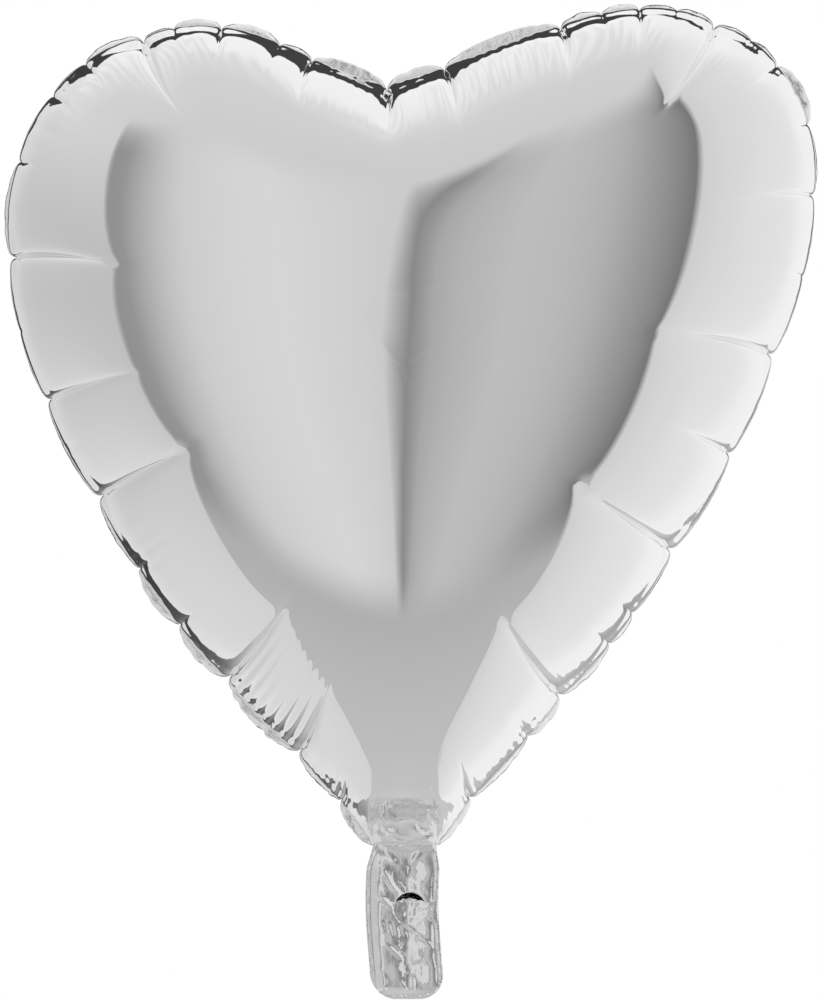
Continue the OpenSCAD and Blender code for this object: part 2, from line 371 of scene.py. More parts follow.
# ---------------------------------------------------------------------------------------------
# The puckers. The flat film has more edge than the swollen heart has room for, so the seam folds in
# at pinches and the film between two pinches stands out as a pillow. Each row is one pinch: share of
# the way round the seam, depth, how far it runs in over the film, and how much of the sealed margin
# shows from there to the next pinch, in millimetres; the rest of the margin is folded back.
# ---------------------------------------------------------------------------------------------
PINCHES = [
    (0.022, 3.0, 22, 2.0), (0.055, 2.0, 14, 2.8), (0.075, 7.0, 52, 2.2), (0.103, 2.2, 12, 1.6),
    (0.118, 2.2, 9, 0.7), (0.147, 7.5, 62, 0.6), (0.191, 4.5, 34, 0.4), (0.233, 7.5, 60, 0.3),
    (0.266, 1.2, 8, 0.3), (0.298, 3.6, 40, 0.9), (0.326, 1.6, 10, 4.0), (0.352, 2.6, 20, 1.5),
    (0.366, 0.8, 6, 1.3), (0.382, 8.0, 52, 1.8), (0.398, 0.9, 6, 1.6), (0.413, 2.4, 26, 2.6),
    (0.428, 1.6, 8, 2.4), (0.445, 4.6, 30, 4.6), (0.493, 3.6, 36, 3.4), (0.516, 6.0, 37, 4.3),
    (0.546, 3.8, 26, 1.5), (0.560, 2.2, 12, 3.0), (0.584, 3.0, 16, 3.0), (0.603, 1.6, 8, 0.9),
    (0.616, 8.0, 50, 2.3), (0.641, 2.0, 10, 0.6), (0.659, 2.2, 12, 0.5), (0.688, 2.4, 10, 1.6),
    (0.726, 5.5, 56, 0.4), (0.755, 0.8, 6, 0.5), (0.784, 4.6, 44, 0.9), (0.827, 7.0, 56, 1.5),
    (0.859, 2.2, 8, 3.4), (0.886, 2.4, 10, 3.4), (0.914, 6.5, 50, 3.6), (0.954, 6.0, 36, 2.0),
    (0.979, 2.4, 14, 4.2)]
# Rows of fine pleats: from and to as shares of the seam, how many, depth and run in millimetres.
PLEATS = [
    (0.003, 0.030, 7, 1.1, 13), (0.032, 0.073, 10, 0.6, 26), (0.077, 0.092, 5, 0.5, 40),
    (0.448, 0.491, 9, 0.40, 32), (0.495, 0.514, 5, 0.40, 33), (0.518, 0.545, 7, 0.40, 33),
    (0.914, 0.953, 8, 1.6, 44),
    (0.956, 0.997, 12, 1.2, 13)]
WRINKLES = 120
SPREAD = 1.5 * MM       # the pillows stand this far out of the seam's mean line
SPREAD_REACH = 60 * MM
FOLD = 2.1 * MM         # the sharp fold of a pinch: its depth, its width and how that grows inwards
FOLD_WIDTH = 1.0 * MM
FOLD_GROWTH = 0.008
ARCH = 0.9              # the broad valley of a pinch: its share of the depth, its width and round
ARCH_WIDTH = 15 * MM
ARCH_ROUND = 2 * MM
FRONT = 1               # which panel; each has its own seed
BACK = 2


def nearest_way(length, at):
    """Signed distance along the rim from one place to another, the short way round."""
    return (length - at + RIM_LENGTH / 2) % RIM_LENGTH - RIM_LENGTH / 2


def dip(length, run, plan_run, seed):
    """How far the film is drawn in at a place on the rim, a run in from the seam over the surface
    and a run in plan. A pinch is a sharp fold, an exponential of the distance across it, in a broad
    valley, an exponential rounded at its foot; both fade inwards. Pleats are folded sines in a
    window, and wrinkles are small seeded Gaussian pinches. The spread is taken off at the end."""
    random = np.random.default_rng(seed)
    total = np.zeros_like(run)
    rise = 0.5 + 0.5 * (1 - fade(run / (14 * MM)))
    for share, depth, reach, _ in PINCHES:
        across = nearest_way(length, share * SEAM_LENGTH)
        reach = reach * (1 if seed == FRONT else random.uniform(0.85, 1.15))
        away = np.abs(across)
        fold = FOLD * np.exp(-away / (FOLD_WIDTH + FOLD_GROWTH * run)) * min(1.4, depth / 4)
        arch = ARCH * depth * MM * np.exp(-np.sqrt(away**2 + ARCH_ROUND**2) / ARCH_WIDTH)
        total += fold * fade(plan_run / (reach * 1.15 * MM)) + arch * rise * fade(plan_run / (reach * MM))
    for start, end, count, depth, reach in PLEATS:
        along = (length / SEAM_LENGTH - start) / (end - start)
        window = np.where((along > 0) & (along < 1), np.sin(np.pi * np.clip(along, 0, 1))**0.4, 0)
        ridge = 1 - np.abs(np.sin(np.pi * count * along))
        rim_share = np.clip(run / (5 * MM), 0.5, 1)
        total += depth * MM * window * ridge * fade(plan_run / (reach * MM)) * rim_share
    for _ in range(WRINKLES):
        across = nearest_way(length, random.uniform(0, SEAM_LENGTH))
        depth = random.uniform(0.08, 0.30) * MM
        reach = random.uniform(6, 30) * MM
        width = random.uniform(1.2, 2.4) * MM
        rim_share = np.clip(run / (4 * MM), 0.2, 1)
        total += depth * np.exp(-(across / width)**2) * fade(plan_run / reach) * rim_share
    return total - SPREAD * fade(run / SPREAD_REACH)


NECK_DEPTH = 2.6 * MM
NECK_REACH = 12 * MM
NECK_CRUSH = 0.6 * MM
DOME_CRUSH = 0.8 * MM
# Folds pressed into the neck by hand: from x, z to x, z, half width and height, in millimetres.
NECK_FOLDS = [
    (-14, 2.3, -3, 1.0, 1.6, -0.6), (-3, 1.0, 5, 1.6, 1.3, -1.3), (5, 1.6, 12, 4.6, 1.4, -0.9),
    (-12, 14, -5, 6, 1.2, 0.5), (-11, 9, -5, 4, 1.0, 0.5), (-9, 16, -4, 9, 0.9, 0.4),
    (-5, 11, -2, 4, 1.2, -0.5), (3, 12, 4, 4, 1.4, 0.7), (6, 9, 11, 6, 1.3, -0.6),
    (-10, 5, 2, 4, 1.4, 0.6), (9, 13, 13, 8, 1.0, 0.5), (1, 7, 8, 5, 1.2, 0.5)]


def folds(x, z, seed, count, shortest, longest):
    """Crushed film: the mean of seeded triangle waves in many directions, so that it is flat
    between sharp straight creases. Each wave fades in and out over the film."""
    random = np.random.default_rng(seed)
    total = np.zeros_like(x)
    for _ in range(count):
        turn = random.uniform(0, math.pi)
        wave = random.uniform(shortest, longest)
        way = x * math.cos(turn) + z * math.sin(turn)
        over = z * math.cos(turn) - x * math.sin(turn)
        ridge = np.abs((way / wave + random.uniform(0, 1)) % 1 - 0.5) * 4 - 1
        total += ridge * (0.5 + 0.5 * np.sin(over / (wave * 1.7) + random.uniform(0, 6.3)))
    return total / math.sqrt(count)


def pressed(x, z, rows):
    """Folds pressed in by hand: each is a straight roof-shaped ridge or groove between two points,
    as wide as twice its half width, that sinks to nothing at both ends."""
    total = np.zeros_like(x)
    for x0, z0, x1, z1, half, height in rows:
        way = np.array([x1 - x0, z1 - z0]) * MM
        length = np.hypot(*way)
        along = ((x - x0 * MM) * way[0] + (z - z0 * MM) * way[1]) / length**2
        across = ((x - x0 * MM) * way[1] - (z - z0 * MM) * way[0]) / length
        total += height * MM * np.clip(1 - np.abs(across) / (half * MM), 0, 1) * np.clip(
            4 * along * (1 - along), 0, 1)**0.5
    return total


def neck_bulge(x, z):
    """The neck stands a little open where the tail joins: half an ellipse across it, which fades
    over the dome and down the tail."""
    open_share = np.sqrt(np.clip(1 - (x / NECK_HALF)**2, 0, 1))
    return NECK_DEPTH * open_share * np.exp(-(z / NECK_REACH)**2)


def neck_crush(x, z, seed):
    """The crushed film round the neck: small seeded folds and, in the front film, the pressed ones."""
    near = np.exp(-((x / (15 * MM))**2 + ((z - 4 * MM) / (10 * MM))**2)) * np.clip(
        (1.08 - np.abs(x) / NECK_HALF) / 0.3 + np.clip(z / (10 * MM), 0, 1), 0, 1)
    crush = folds(x, z, 40 + seed, 12, 3.0 * MM, 8 * MM) * NECK_CRUSH * near
    return crush + (pressed(x, z, NECK_FOLDS) * np.clip(near * 2, 0, 1) if seed == FRONT else 0)


def dome_crush(x, z, seed):
    """The crushed film just above the neck, outwards: seeded folds that start at the crease, are
    fullest a few millimetres over it and fade over the dome."""
    near = fade(np.hypot(x, z - 4 * MM) / (24 * MM)) * np.clip(z / (4 * MM), 0, 1)
    return folds(x, z, 60 + seed, 14, 3.5 * MM, 11 * MM) * DOME_CRUSH * near


def film_points(length, q, seed):
    """The finished panel surface: the smooth film moved along its own normal, in by the puckers and
    out by the crush over the neck, and then forward by the neck's bulge and crush."""
    small_length = 0.3 * MM
    small_q = 0.004
    base = bare_film(length, q)
    along = bare_film(length + small_length, q) - bare_film(length - small_length, q)
    inward = bare_film(length, q + small_q) - bare_film(length, np.maximum(q - small_q, 0))
    normal = np.cross(inward, along)
    normal /= np.linalg.norm(normal, axis=1)[:, None] + 1e-12
    flat_start = np.insert(on_rim(rim_normals, length), 1, 0, axis=1)
    normal = np.where(q[:, None] < 1e-6, flat_start, normal)
    start = bare_film(length, 0 * q)
    run = np.linalg.norm(base - start, axis=1)
    plan_run = np.hypot(base[:, 0] - start[:, 0], base[:, 2] - start[:, 2])
    calm = np.clip((np.abs(nearest_way(length, RIM_LENGTH - NECK_HALF)) - NECK_HALF) / (6 * MM), 0, 1)
    drawn = dip(length, run, plan_run, seed) * calm - dome_crush(base[:, 0], base[:, 2], seed)
    point = base - normal * drawn[:, None]
    point[:, 1] += neck_bulge(point[:, 0], point[:, 2]) + neck_crush(point[:, 0], point[:, 2], seed)
    return point


# ---------------------------------------------------------------------------------------------
# Meshing: rings of points from the rim to the belly, with a strip of triangles between two rings.
# ---------------------------------------------------------------------------------------------
RIM_ROWS = 26
RIM_Q = 0.56
INNER_ROWS = 42
COLUMN_STEP = 1.15 * MM
INNER_STEP = 3.2 * MM


def crowded(count):
    """Shares from 0 to 1 that lie closer together near both ends, where the folds are."""
    even = np.linspace(0, 1, count, endpoint=False)
    return even - 0.6 * np.sin(2 * math.pi * even) / (2 * math.pi)


def ring_lengths():
    """For each ring, its q and the lengths of its columns. The rim rows share one fine set, with
    a column on every pinch and at each neck corner; the inner rings thin out as they shrink."""
    marks = np.r_[0, [row[0] * SEAM_LENGTH for row in PINCHES], SEAM_LENGTH, RIM_LENGTH]
    fine = np.concatenate([a + (b - a) * crowded(max(6, round((b - a) / COLUMN_STEP)))
                           for a, b in zip(marks[:-1], marks[1:])])
    rings = [(q, fine) for q in np.linspace(0, RIM_Q, RIM_ROWS)]
    for k, q in enumerate(np.sqrt(np.linspace(RIM_Q**2, 1, INNER_ROWS + 1))[1:-1]):
        step = COLUMN_STEP + (INNER_STEP - COLUMN_STEP) * min(1, (k + 1) / 5)
        count = max(12, round(RIM_LENGTH * (1 - q * q) / step))
        rings.append((q, np.arange(count) / count * RIM_LENGTH))
    return rings


def strip(first, second, first_index, second_index):
    """Triangles between two closed rings with any number of columns: each edge of one ring is
    joined to the column of the other that is current when the edge's middle is passed."""
    n, m = len(first), len(second)
    mid_first = first + np.diff(np.r_[first, RIM_LENGTH + first[0]]) / 2
    mid_second = second + np.diff(np.r_[second, RIM_LENGTH + second[0]]) / 2
    apex = np.searchsorted(mid_second, mid_first, "left") % m
    outer = np.c_[first_index + np.arange(n), first_index + (np.arange(n) + 1) % n, second_index + apex]
    apex = np.searchsorted(mid_first, mid_second, "right") % n
    inner = np.c_[second_index + (np.arange(m) + 1) % m, second_index + np.arange(m), first_index + apex]
    return np.vstack([outer, inner])


def panel_mesh(seed):
    """Points and triangles of one panel's dome, and each point's length and run from the seam. Its
    depth is positive, and its faces are outwards for the front once that is turned negative."""
    rings = ring_lengths()
    q = np.concatenate([np.full(len(c), v) for v, c in rings])
    length = np.concatenate([c for _, c in rings])
    points = film_points(length, q, seed)
    run = np.linalg.norm(points - film_points(length, 0 * length, seed), axis=1)
    starts = np.cumsum([0] + [len(c) for _, c in rings])
    faces = [strip(rings[k][1], rings[k + 1][1], starts[k], starts[k + 1]) for k in range(len(rings) - 1)]
    last = len(rings[-1][1])
    around = starts[-2] + np.arange(last)
    pole = len(points)
    faces.append(np.c_[around, np.roll(around, -1), np.full(last, pole)])
    points = np.vstack([points, [[BELLY[0], points[around, 1].mean(), BELLY[1]]]])
    return points, np.vstack(faces), np.vstack([np.c_[length, run], [[0, run.max()]]])


# ---------------------------------------------------------------------------------------------
# The tail: the same two films run on below the neck crease as a flat sleeve, sealed down both edges
# and round its foot. It holds a little air, has been crushed by hand, and a filling hole is punched
# through its front film. It hangs in a slight S.
# ---------------------------------------------------------------------------------------------
tail_low, tail_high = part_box("tail_edge_seal")
TAIL_HALF = tail_high[0]
TAIL_FOOT = -tail_low[2]
TAIL_CORNER = 11 * MM
TAIL_SHOULDER = 13 * MM
TAIL_SEAL = 2.2 * MM
TAIL_STEP = 0.85 * MM
TAIL_SWAY = 1.35 * MM
HOLE_SIDES = 72
SKIN = 0.15 * MM
hole = next(m for m in frame["record"]["mounts"] if m["name"] == "filling_hole")
HOLE_R = hole["dims"]["r_mm"] * MM
HOLE_AT = np.array([hole["pos_m"][0], hole["pos_m"][2]])


def tail_edge(turn):
    """The right edge of the tail from neck to foot, before it sways, for turns from 0 to 1: an S
    that widens from the neck, a straight side, and a quarter circle to the middle of the foot."""
    side = TAIL_FOOT - TAIL_CORNER
    arc = TAIL_CORNER * math.pi / 2
    walked = turn * (side + arc + TAIL_HALF - TAIL_CORNER)
    drop = np.clip(walked, 0, side)
    widen = 1 - fade(drop / TAIL_SHOULDER)
    angle = np.clip((walked - side) / TAIL_CORNER, 0, math.pi / 2)
    x = NECK_HALF + (TAIL_HALF - NECK_HALF) * widen - TAIL_CORNER * (1 - np.cos(angle))
    x = x - np.clip(walked - side - arc, 0, None)
    return np.c_[x, -drop - TAIL_CORNER * np.sin(angle)]


# The groove down the middle of the crushed tail, as x, z pairs, and the folds pressed into its front
# film, as on the neck, in millimetres.
GROOVE = [(4, 0), (3.6, -9), (2.0, -22), (2.6, -41), (0.5, -54), (2.2, -59), (11, -68)]
TAIL_FOLDS = [
    (-13.6, 1.5, -3, -9.5, 1.6, 0.9), (11, 3.5, 3.4, -9.8, 1.8, 0.9), (-14, -9.3, 4, -9.6, 0.8, -0.5),
    (-10.6, -13, -6.9, -24, 0.8, 0.45), (-9.8, -11.5, 0.6, -26.4, 1.3, 0.9), (-3, -16.5, 2.4, -22, 0.8, 0.4),
    (-13, -21.5, -3, -30.4, 1.4, 1.0), (-3, -30.4, 4, -39.5, 1.4, 0.9), (3, -38, 12.8, -47, 1.3, 0.9),
    (-8.2, -34, -7.2, -40.5, 0.9, -0.6), (-5.2, -35, -4.2, -42, 0.9, -0.6), (-1.6, -37, -0.8, -42, 0.8, -0.6),
    (2.2, -39, 2.8, -43, 0.8, -0.5), (5.6, -39, 6.4, -44.5, 0.8, -0.5), (-9.5, -44, -0.6, -53, 0.9, 0.6),
    (-6, -45.5, 0, -51, 0.8, -0.45), (2.4, -58.5, 2.6, -71, 1.2, 0.9), (-3, -62, 1.4, -69.5, 0.9, 0.5),
    (5.5, -13, 6.4, -16, 1.1, -0.5), (4.5, -18, 5.4, -21, 0.9, -0.5), (8.5, -20, 11.5, -24, 1.0, -0.5),
    (-13, -55, -9.5, -61, 1.4, 0.6), (-12.5, -63, -7, -69, 1.2, 0.6), (6.5, -63, 12, -69.5, 1.0, 0.6)]
SHALLOW_SIDE = 0.10
STEEP_SIDE = 0.29
SHOULDER_AT = 10.2 * MM
TAIL_OPEN = 0.5 * MM      # how far each film stands off at least, and how soon it does from the seal
TAIL_OPEN_OVER = 2.2 * MM
TAIL_CRUSH = 0.52 * MM
HOLE_GAP = 0.45 * MM      # the back film lies this far behind the hole, and falls away at its top
HOLE_FALL = 5 * MM


def tail_bend(z):
    """How far the whole tail stands forward of its own plane: a slow sine down its length."""
    return 1.2 * MM * np.sin(-z / (22 * MM)) * (1 - fade(-z / (8 * MM)))


def tail_depth(x, z, side):
    """Depth of one tail film, its y with the front film turned positive: from the side seals it
    climbs to a shoulder and falls in two slopes to the groove, with the pressed folds and a crush on
    top. At the neck it meets the dome's own depth. Behind the hole the back film lies up against the
    front one, with folds of its own, and falls away under the hole's upper edge."""
    drop = -z
    half = NECK_HALF + (TAIL_HALF - NECK_HALF) * (1 - fade(drop / TAIL_SHOULDER)) - TAIL_SEAL
    inset = np.minimum(half - np.abs(x), TAIL_FOOT - TAIL_SEAL - drop)
    open_share = 1 - np.exp(-np.clip(inset, 0, None) / TAIL_OPEN_OVER)
    groove = np.interp(drop, [-p[1] * MM for p in GROOVE], [p[0] * MM for p in GROOVE])
    left, right = (STEEP_SIDE, SHALLOW_SIDE) if side == FRONT else (SHALLOW_SIDE, STEEP_SIDE)
    away = np.where(x < groove, np.clip(groove - x, 0, SHOULDER_AT + groove) * left,
                    np.clip(x - groove, 0, SHOULDER_AT - groove) * right)
    marks = pressed(x, z, TAIL_FOLDS) if side == FRONT else 0 * x
    crush = folds(x, z, 20 + side, 12, 6.0 * MM, 18 * MM) * TAIL_CRUSH
    lower = 1 - fade(drop / (12 * MM))
    formed = SKIN + open_share * (TAIL_OPEN + (away + crush) * lower + marks)
    neck = SKIN + neck_bulge(x, z) + neck_crush(x, z, side)
    meet = fade(drop / (6 * MM))
    depth = np.maximum(neck * meet + formed * (1 - meet), SKIN + 0.25 * MM * open_share)
    if side == BACK:
        near_hole = fade((np.hypot(x - HOLE_AT[0], z - HOLE_AT[1]) / HOLE_R - 1.15) / 0.9)
        slope = np.where(x < groove, (groove - x) * STEEP_SIDE, (x - groove) * SHALLOW_SIDE)
        fall = HOLE_FALL * np.clip((z - HOLE_AT[1]) / HOLE_R - 0.35, 0, 1.6)
        lapped = fall + folds(x, z, 31, 6, 3 * MM, 6 * MM) * 0.2 * MM + HOLE_GAP
        depth += near_hole * (lapped - depth - SKIN - TAIL_OPEN - slope)
    return depth + (tail_bend(z) if side == FRONT else -tail_bend(z))


def sway(x, z):
    """The tail's sideways S: a sine down its length."""
    return x - TAIL_SWAY * np.sin(-z / (16 * MM))


def tail_film(neck_x, side):
    """Points and triangles of one tail film. Its edge, and the hole's in the front film, are kept as
    edges of a triangulated six-sided lattice of points. The first points are the neck's own."""
    turn = np.linspace(0, 1, 96)[1:]
    right = tail_edge(turn)
    left = right[::-1][1:] * (-1, 1)
    outline = np.vstack([np.c_[neck_x, 0 * neck_x], right, left])
    rim_edges = [(k, (k + 1) % len(outline)) for k in range(len(outline))]
    rows = np.arange(1, TAIL_FOOT / (TAIL_STEP * 0.866)) * TAIL_STEP * 0.866
    columns = np.arange(-TAIL_HALF, TAIL_HALF, TAIL_STEP)
    lattice_x, lattice_z = np.meshgrid(columns, -rows)
    lattice_x = lattice_x + (np.arange(len(rows)) % 2)[:, None] * TAIL_STEP / 2
    lattice = np.c_[lattice_x.ravel(), lattice_z.ravel()]
    reach = np.hypot(lattice[:, None, 0] - outline[:, 0], lattice[:, None, 1] - outline[:, 1]).min(1)
    edge = tail_edge(np.linspace(0, 1, 900))
    inside = np.abs(lattice[:, 0]) < np.interp(-lattice[:, 1], -edge[:, 1], edge[:, 0])
    keep = inside & (reach > 0.6 * TAIL_STEP)
    if side == FRONT:
        around = np.linspace(0, 2 * math.pi, HOLE_SIDES, endpoint=False)
        ring = HOLE_AT + HOLE_R * np.c_[np.cos(around), np.sin(around)]
        keep &= np.hypot(*(lattice - HOLE_AT).T) > HOLE_R + 0.5 * TAIL_STEP
        first = len(outline)
        rim_edges += [(first + k, first + (k + 1) % HOLE_SIDES) for k in range(HOLE_SIDES)]
        outline = np.vstack([outline, ring])
    flat = np.vstack([outline, lattice[keep]])
    made = delaunay_2d_cdt([Vector(p) for p in flat], rim_edges, [], 1, 1e-7)
    points = np.array([tuple(v) for v in made[0]])
    faces = np.array(made[2])
    given = np.array([o[0] if o else -1 for o in made[3]])
    if side == FRONT:
        middle = points[faces].mean(1)
        faces = faces[np.hypot(*(middle - HOLE_AT).T) > HOLE_R * 0.995]
    used, faces = np.unique(faces, return_inverse=True)
    faces = faces.reshape(-1, 3)
    points, given = points[used], given[used]
    depth = tail_depth(points[:, 0], points[:, 1], side)
    return np.c_[sway(points[:, 0], points[:, 1]), depth, points[:, 1]], faces, given


# ---------------------------------------------------------------------------------------------
# The two films: each is one unbroken sheet, dome and tail together. Metallised film, bright outside, 0.12 mm
# here.
# ---------------------------------------------------------------------------------------------
FILM_THICKNESS = 0.12 * MM
CRUSH_REACH = 14 * MM


def add_mesh(name, points, faces, place=None):
    """A smooth-shaded object from whole arrays of points and faces. Place, if given, is what its
    material reads at each point: length along the seam, run from it, and how crushed it is."""
    mesh = bpy.data.meshes.new(name)
    mesh.from_pydata(points.tolist(), [], faces.tolist())
    mesh.polygons.foreach_set("use_smooth", [True] * len(mesh.polygons))
    mesh.update()
    if place is not None:
        mesh.attributes.new("seam_place", "FLOAT_VECTOR", "POINT").data.foreach_set("vector", place.ravel())
    made = bpy.data.objects.new(name, mesh)
    bpy.context.scene.collection.objects.link(made)
    return made


def thicken(piece, thickness, inwards=True):
    """Gives a sheet its thickness, on its inner side or on both, and closes its edges."""
    wall = piece.modifiers.new("thickness", "SOLIDIFY")
    wall.thickness = thickness
    wall.offset = -1.0 if inwards else 0.0
    wall.use_even_offset = False


def film(side, name):
    """One whole film, dome and tail. Dome and tail share the points of the neck crease."""
    points, faces, place = panel_mesh(side)
    points[:, 1] += SKIN
    fine = ring_lengths()[0][1]
    neck = np.r_[np.flatnonzero(fine >= SEAM_LENGTH - 1e-9), 0]
    tail_points, tail_faces, given = tail_film(points[neck, 0], side)
    start = len(points)
    index = np.where((given >= 0) & (given < len(neck)), neck[np.clip(given, 0, len(neck) - 1)],
                     start + np.arange(len(given)))
    points = np.vstack([points, tail_points])
    faces = np.vstack([faces, index[tail_faces]])
    crushed = np.exp(-np.hypot(points[:, 0], np.clip(points[:, 2], 0, None)) / CRUSH_REACH)
    tail_place = np.c_[tail_points[:, 0], np.zeros(len(tail_points)), crushed[start:]]
    place = np.vstack([np.c_[place, crushed[:start]], tail_place])
    used, faces = np.unique(faces, return_inverse=True)
    points, faces, place = points[used], faces.reshape(-1, 3), place[used]
    if side == FRONT:
        points[:, 1] *= -1
    else:
        faces = faces[:, ::-1]
    return add_mesh(name, points, faces, place)


def new_group(name, ins, outs):
    """An empty node group: its tree, its input node and its output node. Ins give each socket's
    name, kind and value; outs give name and kind."""
    tree = bpy.data.node_groups.new(name, "ShaderNodeTree")
    for label, kind, value in ins:
        made = tree.interface.new_socket(label, in_out="INPUT", socket_type=kind)
        if value is not None:
            made.default_value = value
    for label, kind in outs:
        tree.interface.new_socket(label, in_out="OUTPUT", socket_type=kind)
    return tree, tree.nodes.new("NodeGroupInput"), tree.nodes.new("NodeGroupOutput")


def make_drawn_wrinkles():
    """Fine wrinkles square to the seam: noise drawn out along the run from the seam, strongest on
    the seam and gone a reach away. Place is length, run and crush."""
    tree, given, out = new_group("drawn_wrinkles", [
        ("Place", "NodeSocketVector", None), ("Fineness", "NodeSocketFloat", 400.0),
        ("Reach", "NodeSocketFloat", 0.06)], [("Height", "NodeSocketFloat")])
    parts = add_node(tree, "ShaderNodeSeparateXYZ", Vector=given.outputs["Place"])
    along = times(tree, parts.outputs[0], given.outputs["Fineness"])
    inward = times(tree, parts.outputs[1], 26.0)
    drawn = add_node(tree, "ShaderNodeCombineXYZ", X=along, Y=inward)
    noise = add_node(tree, "ShaderNodeTexNoise", Vector=drawn.outputs[0], Scale=1.0, Detail=2.0)
    share = maths(tree, "DIVIDE", parts.outputs[1], given.outputs["Reach"])
    fall = maths(tree, "POWER", maths(tree, "SUBTRACT", 1.0, share, clamp=True), 2.0)
    height = times(tree, noise.outputs["Fac"], fall)
    tree.links.new(height, out.inputs["Height"])
    return tree


def make_fine_crinkle():
    """Crinkled film: the distance to the nearest point in two layers of cells, so that each cell is a
    small cone and meets the next in a crease."""
    tree, given, out = new_group("fine_crinkle", [
        ("Place", "NodeSocketVector", None), ("Fineness", "NodeSocketFloat", 500.0)],
        [("Height", "NodeSocketFloat")])
    layers = []
    for share in (1.0, 2.3):
        cells = add_node(tree, "ShaderNodeTexVoronoi", Vector=given.outputs["Place"],
                         Scale=times(tree, given.outputs["Fineness"], share))
        cells.feature = "F1"
        layers.append(cells.outputs["Distance"])
    height = plus(tree, layers[0], times(tree, layers[1], 0.4))
    tree.links.new(height, out.inputs["Height"])
    return tree


def place_group(tree, group, **inputs):
    """A group placed in a material's tree, with its inputs set."""
    made = tree.nodes.new("ShaderNodeGroup")
    made.node_tree = group
    return fill(tree, made, inputs)


def new_material(name):
    """A material with nodes: the material, its tree and its shader."""
    made = bpy.data.materials.new(name)
    made.use_nodes = True
    return made, made.node_tree, made.node_tree.nodes["Principled BSDF"]


def set_bump(tree, shader, height, strength=1.0, distance=0.0003):
    """Lets a height move the shader's normal."""
    bump = add_node(tree, "ShaderNodeBump", Height=height, Strength=strength, Distance=distance)
    tree.links.new(bump.outputs["Normal"], shader.inputs["Normal"])


def noise_of(tree, scale, **inputs):
    """Noise of three octaves."""
    return add_node(tree, "ShaderNodeTexNoise", Scale=scale, Detail=3.0, **inputs).outputs["Fac"]


def set_roughness(tree, shader, share, least, *extra):
    """Roughness: the least, and what is added to it."""
    for value in extra:
        share = plus(tree, share, value)
    tree.links.new(plus(tree, share, least), shader.inputs["Roughness"])


def set_tint(tree, shader, share, first, second):
    """Base colour between two, by a share."""
    tint = add_node(tree, "ShaderNodeMix", i0=share, i6=(*first, 1), i7=(*second, 1))
    tint.data_type = "RGBA"
    tree.links.new(tint.outputs[2], shader.inputs["Base Color"])


drawn_wrinkles = make_drawn_wrinkles()
fine_crinkle = make_fine_crinkle()


def make_foil():
    """Bright metallised film: a mirror with the faint drawn wrinkles near the seam and, on the tail
    and round the neck, the crinkle of handled film, which also dulls it a little."""
    material, tree, shader = new_material("bright_foil")
    place = add_node(tree, "ShaderNodeAttribute")
    place.attribute_name = "seam_place"
    coords = tree.nodes.new("ShaderNodeTexCoord").outputs["Object"]
    crushed = add_node(tree, "ShaderNodeSeparateXYZ", Vector=place.outputs["Vector"]).outputs[2]
    wrinkles = place_group(tree, drawn_wrinkles, Place=place.outputs["Vector"], Fineness=400.0, Reach=0.055)
    crinkle = place_group(tree, fine_crinkle, Place=coords, Fineness=330.0)
    height = plus(tree, times(tree, wrinkles.outputs["Height"], 0.4),
                  times(tree, crinkle.outputs["Height"], times(tree, crushed, 0.35)))
    set_bump(tree, shader, height)
    haze = noise_of(tree, 45.0, Vector=coords)
    set_roughness(tree, shader, times(tree, haze, 0.012), 0.006, times(tree, crushed, 0.035))
    set_tint(tree, shader, haze, (0.895, 0.895, 0.90), (0.905, 0.905, 0.915))
    shader.inputs["Metallic"].default_value = 1.0
    return material


front_film = film(FRONT, "front_film")
back_film = film(BACK, "back_film")
foil = make_foil()

for piece in (front_film, back_film):
    piece.data.materials.append(foil)
    thicken(piece, FILM_THICKNESS)
    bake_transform(piece)
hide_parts("front_panel", "tail_front_ply")
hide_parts("back_panel", "tail_back_ply")


# ---------------------------------------------------------------------------------------------
# The sealed margin: both films fused into one strip that stands out round the heart. It is drawn in
# with the seam at each pinch, where it narrows and folds over, and stands in scallops between.
# ---------------------------------------------------------------------------------------------
MARGIN = panel_low[0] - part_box("edge_seal")[0][0]
MARGIN_THICKNESS = 0.3 * MM
FIRST_MARGIN = 3.0    # from the neck's right corner to the first pinch, in millimetres


def slow_noise(length, seed, waves):
    """A sum of seeded sines along the seam, of whole numbers of waves so that it closes."""
    random = np.random.default_rng(seed)
    total = np.zeros_like(length)
    for count in waves:
        share = random.uniform(0.5, 1)
        total += share * np.sin(2 * math.pi * count * length / RIM_LENGTH + random.uniform(0, 6.3))
    return total / math.sqrt(len(waves))


